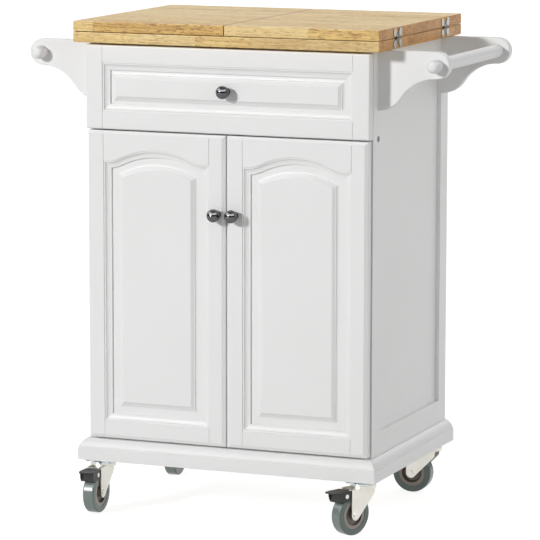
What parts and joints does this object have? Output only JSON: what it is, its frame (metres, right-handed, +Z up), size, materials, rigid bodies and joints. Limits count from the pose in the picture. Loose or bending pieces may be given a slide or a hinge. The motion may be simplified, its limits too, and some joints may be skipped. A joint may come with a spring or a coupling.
{
  "type": "kitchen trolley",
  "caption": "Kitchen trolley with a folding two-leaf wooden worktop, a drawer, two arched-panel doors, towel rails and swivel casters with foot brakes",
  "frame": {"origin": "on the floor, at the middle of the footprint box in the pictured pose, with the worktop folded shut", "axes": "+X to the right as seen by a person facing the doors, +Y away from that person towards the back panel, +Z up"},
  "size_m": [0.8134, 0.492, 0.9048],
  "materials": {
    "worktop_wood": "clear-lacquered laminated wood staves",
    "towel_rail_wood": "white paint on turned wood",
    "white_paint": "smooth satin white paint on wood",
    "raw_board": "unpainted white-faced board",
    "knob_metal": "polished metal",
    "zinc_steel": "bright zinc-plated pressed steel",
    "fastener_steel": "plated steel",
    "hinge_steel": "nickel-plated steel",
    "runner_steel": "zinc-plated rolled steel",
    "wheel_plastic": "moulded grey-brown plastic",
    "wheel_tread": "soft grey rubber",
    "pedal_black": "black coated steel"
  },
  "bodies": {
    "cabinet": {"side_frame_left": "white_paint", "side_frame_right": "white_paint", "side_panel_left": "white_paint", "side_panel_right": "white_paint", "back_panel": "raw_board", "floor_panel": "raw_board", "top_rails": "raw_board", "divider_rail": "white_paint", "shelf": "raw_board", "shelf_pins": "fastener_steel", "plinth_frame": "white_paint", "caster_blocks": "raw_board", "worktop_board": "worktop_wood", "leaf_hinge_flaps_fixed": "hinge_steel", "towel_bracket_front_left": "white_paint", "towel_bracket_front_right": "white_paint", "towel_bracket_back_left": "white_paint", "towel_bracket_back_right": "white_paint", "towel_rail_left": "towel_rail_wood", "towel_rail_right": "towel_rail_wood", "side_fasteners": "fastener_steel", "drawer_runners_fixed": "runner_steel", "door_hinge_arms": "hinge_steel", "caster_plates": "zinc_steel", "caster_screws": "fastener_steel"},
    "leaf_left": {"leaf_left": "worktop_wood", "leaf_hinge_flaps_left": "hinge_steel"},
    "leaf_right": {"leaf_right": "worktop_wood", "leaf_hinge_flaps_right": "hinge_steel"},
    "drawer": {"drawer_front_frame": "white_paint", "drawer_front_panel": "white_paint", "drawer_sides": "raw_board", "drawer_ends": "raw_board", "drawer_bottom": "raw_board", "drawer_knob": "knob_metal", "drawer_runners_moving": "runner_steel"},
    "door_left": {"door_left_frame": "white_paint", "door_left_panel": "white_paint", "door_left_knob": "knob_metal", "door_left_hinge_cups": "hinge_steel"},
    "door_left_links": {"door_left_hinge_links": "hinge_steel"},
    "door_right": {"door_right_frame": "white_paint", "door_right_panel": "white_paint", "door_right_knob": "knob_metal", "door_right_hinge_cups": "hinge_steel"},
    "door_right_links": {"door_right_hinge_links": "hinge_steel"},
    "caster_front_left_fork": {"caster_front_left_fork": "zinc_steel"},
    "caster_front_left_wheel": {"caster_front_left_hub": "wheel_plastic", "caster_front_left_tyre": "wheel_tread"},
    "caster_front_left_pedal": {"caster_front_left_pedal": "pedal_black"},
    "caster_front_right_fork": {"caster_front_right_fork": "zinc_steel"},
    "caster_front_right_wheel": {"caster_front_right_hub": "wheel_plastic", "caster_front_right_tyre": "wheel_tread"},
    "caster_front_right_pedal": {"caster_front_right_pedal": "pedal_black"},
    "caster_back_left_fork": {"caster_back_left_fork": "zinc_steel"},
    "caster_back_left_wheel": {"caster_back_left_hub": "wheel_plastic", "caster_back_left_tyre": "wheel_tread"},
    "caster_back_right_fork": {"caster_back_right_fork": "zinc_steel"},
    "caster_back_right_wheel": {"caster_back_right_hub": "wheel_plastic", "caster_back_right_tyre": "wheel_tread"}
  },
  "joints": [
    {"name": "leaf_left_fold", "type": "hinge", "parent": "cabinet", "child": "leaf_left", "pos_m": [-0.2974, 0.0245, 0.8854], "axis": [0, -1, 0], "range_deg": [0, 180]},
    {"name": "leaf_right_fold", "type": "hinge", "parent": "cabinet", "child": "leaf_right", "pos_m": [0.2974, 0.0245, 0.8854], "axis": [0, 1, 0], "range_deg": [0, 180]},
    {"name": "drawer_slide", "type": "slide", "parent": "cabinet", "child": "drawer", "axis": [0, -1, 0], "range_m": [0, 0.25]},
    {"name": "door_left_link_turn", "type": "hinge", "parent": "cabinet", "child": "door_left_links", "pos_m": [-0.2465, -0.172, 0.423], "axis": [0, 0, 1], "range_deg": [0, 25]},
    {"name": "door_left_swing", "type": "hinge", "parent": "door_left_links", "child": "door_left", "pos_m": [-0.2625, -0.176, 0.423], "axis": [0, 0, -1], "range_deg": [0, 120]},
    {"name": "door_right_link_turn", "type": "hinge", "parent": "cabinet", "child": "door_right_links", "pos_m": [0.2465, -0.172, 0.423], "axis": [0, 0, -1], "range_deg": [0, 25]},
    {"name": "door_right_swing", "type": "hinge", "parent": "door_right_links", "child": "door_right", "pos_m": [0.2625, -0.176, 0.423], "axis": [0, 0, 1], "range_deg": [0, 120]},
    {"name": "caster_front_left_swivel", "type": "hinge", "parent": "cabinet", "child": "caster_front_left_fork", "pos_m": [-0.256, -0.1615, 0.088], "axis": [0, 0, 1], "continuous": true},
    {"name": "caster_front_left_roll", "type": "hinge", "parent": "caster_front_left_fork", "child": "caster_front_left_wheel", "pos_m": [-0.256, -0.1935, 0.0375], "axis": [1, 0, 0], "continuous": true},
    {"name": "caster_front_left_brake", "type": "hinge", "parent": "caster_front_left_fork", "child": "caster_front_left_pedal", "pos_m": [-0.256, -0.2155, 0.0745], "axis": [1, 0, 0], "range_deg": [0, 12]},
    {"name": "caster_front_right_swivel", "type": "hinge", "parent": "cabinet", "child": "caster_front_right_fork", "pos_m": [0.256, -0.1615, 0.088], "axis": [0, 0, 1], "continuous": true},
    {"name": "caster_front_right_roll", "type": "hinge", "parent": "caster_front_right_fork", "child": "caster_front_right_wheel", "pos_m": [0.24248, -0.1905, 0.0375], "axis": [0.9063, -0.4226, 0], "continuous": true},
    {"name": "caster_front_right_brake", "type": "hinge", "parent": "caster_front_right_fork", "child": "caster_front_right_pedal", "pos_m": [0.23318, -0.21044, 0.0745], "axis": [0.9063, -0.4226, 0], "range_deg": [0, 12]},
    {"name": "caster_back_left_swivel", "type": "hinge", "parent": "cabinet", "child": "caster_back_left_fork", "pos_m": [-0.256, 0.1985, 0.088], "axis": [0, 0, 1], "continuous": true},
    {"name": "caster_back_left_roll", "type": "hinge", "parent": "caster_back_left_fork", "child": "caster_back_left_wheel", "pos_m": [-0.25433, 0.16654, 0.0375], "axis": [0.9986, 0.0523, 0], "continuous": true},
    {"name": "caster_back_right_swivel", "type": "hinge", "parent": "cabinet", "child": "caster_back_right_fork", "pos_m": [0.256, 0.1985, 0.088], "axis": [0, 0, 1], "continuous": true},
    {"name": "caster_back_right_roll", "type": "hinge", "parent": "caster_back_right_fork", "child": "caster_back_right_wheel", "pos_m": [0.224, 0.1985, 0.0375], "axis": [0, -1, 0], "continuous": true}
  ],
  "couplings": [
    {"joint": "door_left_link_turn", "follows": "door_left_swing", "ratio": 0.20833},
    {"joint": "door_right_link_turn", "follows": "door_right_swing", "ratio": 0.20833}
  ]
}
